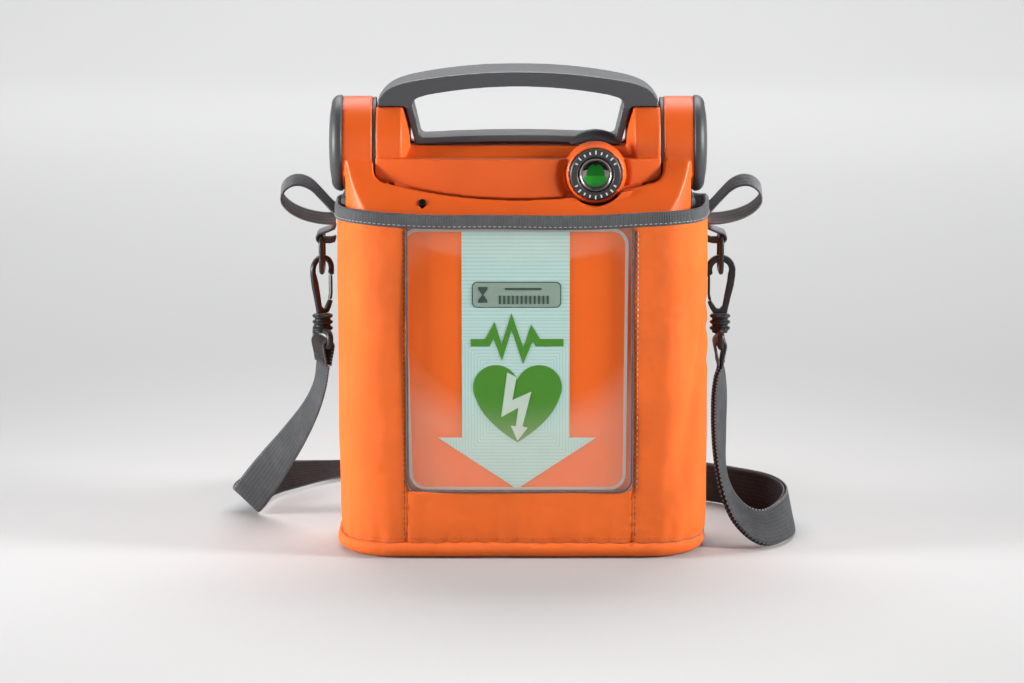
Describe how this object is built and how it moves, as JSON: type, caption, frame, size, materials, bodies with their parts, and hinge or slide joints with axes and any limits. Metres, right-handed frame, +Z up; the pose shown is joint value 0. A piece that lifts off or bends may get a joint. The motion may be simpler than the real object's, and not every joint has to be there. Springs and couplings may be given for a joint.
{
  "type": "defibrillator",
  "caption": "Portable automated external defibrillator with a hinged front lid and carry handle, standing in an open-topped fabric sleeve with a clear window and a shoulder strap.",
  "frame": {"origin": "middle of the sleeve's bottom, where it stands on the floor", "axes": "+Z up; +X to the right as the object is faced from the front; -Y out of the front, where the window is"},
  "size_m": [0.3641, 0.2473, 0.294],
  "materials": {
    "orange_shell": "bright orange moulded plastic, satin",
    "orange_label": "printed label, semi-gloss",
    "orange_fabric": "bright orange padded fabric, matt",
    "clear_vinyl": "clear flexible vinyl sheet, glossy",
    "grey_shell": "dark grey moulded plastic, fine texture",
    "grey_rubber": "dark grey soft rubber",
    "grey_webbing": "dark grey woven webbing",
    "black_plastic": "black moulded plastic, satin",
    "steel": "plain machined steel",
    "clear_lens": "clear moulded lens, polished",
    "green_flag": "green indicator disc",
    "pack_foil": "sealed foil pouch in a plastic tray",
    "circuit_board": "green circuit board laminate",
    "shock_red": "red moulded plastic"
  },
  "bodies": {
    "sleeve": {"sleeve_back": "orange_fabric", "sleeve_bottom": "orange_fabric", "sleeve_front_left": "orange_fabric", "sleeve_front_right": "orange_fabric", "sleeve_front_lower": "orange_fabric", "window_sheet": "clear_vinyl", "window_piping": "grey_webbing", "rim_front": "grey_webbing", "rim_back": "grey_webbing", "pull_loop_left": "grey_webbing", "pull_loop_right": "grey_webbing", "ring_tab_left": "grey_webbing", "ring_tab_right": "grey_webbing", "hook_left": "black_plastic", "hook_right": "black_plastic", "strap_left": "grey_webbing", "strap_right_outer": "grey_webbing", "strap_right_inner": "grey_webbing"},
    "ring_left": {"ring_left": "black_plastic"},
    "ring_right": {"ring_right": "black_plastic"},
    "gate_left": {"gate_left": "black_plastic"},
    "gate_right": {"gate_right": "black_plastic"},
    "swivel_left": {"swivel_left": "black_plastic", "strap_end_left": "grey_webbing"},
    "swivel_right": {"swivel_right": "black_plastic", "strap_end_right": "grey_webbing"},
    "slider": {"strap_slider": "black_plastic"},
    "case": {"back_housing": "grey_shell", "front_deck": "grey_shell", "housing_gasket": "grey_rubber", "hinge_yoke": "orange_shell", "handle": "grey_shell", "hinge_pin_left": "steel", "hinge_pin_right": "steel", "housing_screw_1": "steel", "housing_screw_2": "steel", "housing_screw_3": "steel", "housing_screw_4": "steel", "indicator_bezel": "grey_shell", "indicator_lens": "clear_lens", "indicator_flag": "green_flag", "display": "black_plastic", "display_window": "clear_lens", "speaker": "black_plastic", "pads_pack": "pack_foil", "pads_lead": "black_plastic", "pads_connector": "shock_red", "pads_socket": "black_plastic", "battery_pack": "grey_shell", "main_board": "circuit_board", "capacitor": "black_plastic"},
    "lid": {"lid_shell": "orange_shell", "lid_label": "orange_label", "lid_liner": "grey_rubber", "lid_magnet": "steel", "end_cap_left": "grey_rubber", "end_cap_right": "grey_rubber"},
    "shock_button": {"shock_button": "shock_red"},
    "language_button": {"language_button": "grey_rubber"},
    "battery_latch": {"battery_latch": "black_plastic"}
  },
  "joints": [
    {"name": "unit_lift", "type": "slide", "parent": "sleeve", "child": "case", "axis": [0, 0, 1], "range_m": [0, 0.22]},
    {"name": "lid_hinge", "type": "hinge", "parent": "case", "child": "lid", "pos_m": [-0.002, 0.004, 0.247], "axis": [-1, 0, 0], "range_deg": [0, 95], "deforming": ["sleeve_front_left", "sleeve_front_right", "sleeve_front_lower", "window_sheet", "window_piping", "rim_front"]},
    {"name": "shock_press", "type": "slide", "parent": "case", "child": "shock_button", "axis": [0, 1, 0], "range_m": [0, 0.0015], "stiffness_N_per_m": 800, "springref_m": -0.001},
    {"name": "language_press", "type": "slide", "parent": "case", "child": "language_button", "axis": [0, 1, 0], "range_m": [0, 0.0012], "stiffness_N_per_m": 600, "springref_m": -0.001},
    {"name": "battery_latch_press", "type": "slide", "parent": "case", "child": "battery_latch", "axis": [0, -1, 0], "range_m": [0, 0.002], "stiffness_N_per_m": 1000, "springref_m": -0.001},
    {"name": "gate_left_hinge", "type": "hinge", "parent": "sleeve", "child": "gate_left", "pos_m": [-0.11695, 0.0046, 0.1491], "axis": [0.7193, -0.6947, 0], "range_deg": [0, 20], "stiffness_Nm_per_rad": 0.02, "springref_deg": -11.46},
    {"name": "gate_right_hinge", "type": "hinge", "parent": "sleeve", "child": "gate_right", "pos_m": [0.115, 0, 0.1491], "axis": [0, 1, 0], "range_deg": [0, 20], "stiffness_Nm_per_rad": 0.02, "springref_deg": -11.46},
    {"name": "swivel_left_turn", "type": "hinge", "parent": "sleeve", "child": "swivel_left", "pos_m": [-0.1214, 0, 0.1425], "axis": [0, 0, 1], "range_deg": [-40, 0]},
    {"name": "swivel_right_turn", "type": "hinge", "parent": "sleeve", "child": "swivel_right", "pos_m": [0.1214, 0, 0.1425], "axis": [0, 0, 1], "range_deg": [-20, 20]},
    {"name": "ring_left_swing", "type": "hinge", "parent": "sleeve", "child": "ring_left", "pos_m": [-0.1212, 0, 0.1905], "axis": [0, 1, 0], "range_deg": [-1.5, 4.5]},
    {"name": "ring_right_swing", "type": "hinge", "parent": "sleeve", "child": "ring_right", "pos_m": [0.1212, 0, 0.1905], "axis": [0, 1, 0], "range_deg": [-4.5, 4.5]},
    {"name": "slider_slide", "type": "slide", "parent": "sleeve", "child": "slider", "axis": [1, 0, 0], "range_m": [-0.008, 0.008]}
  ]
}
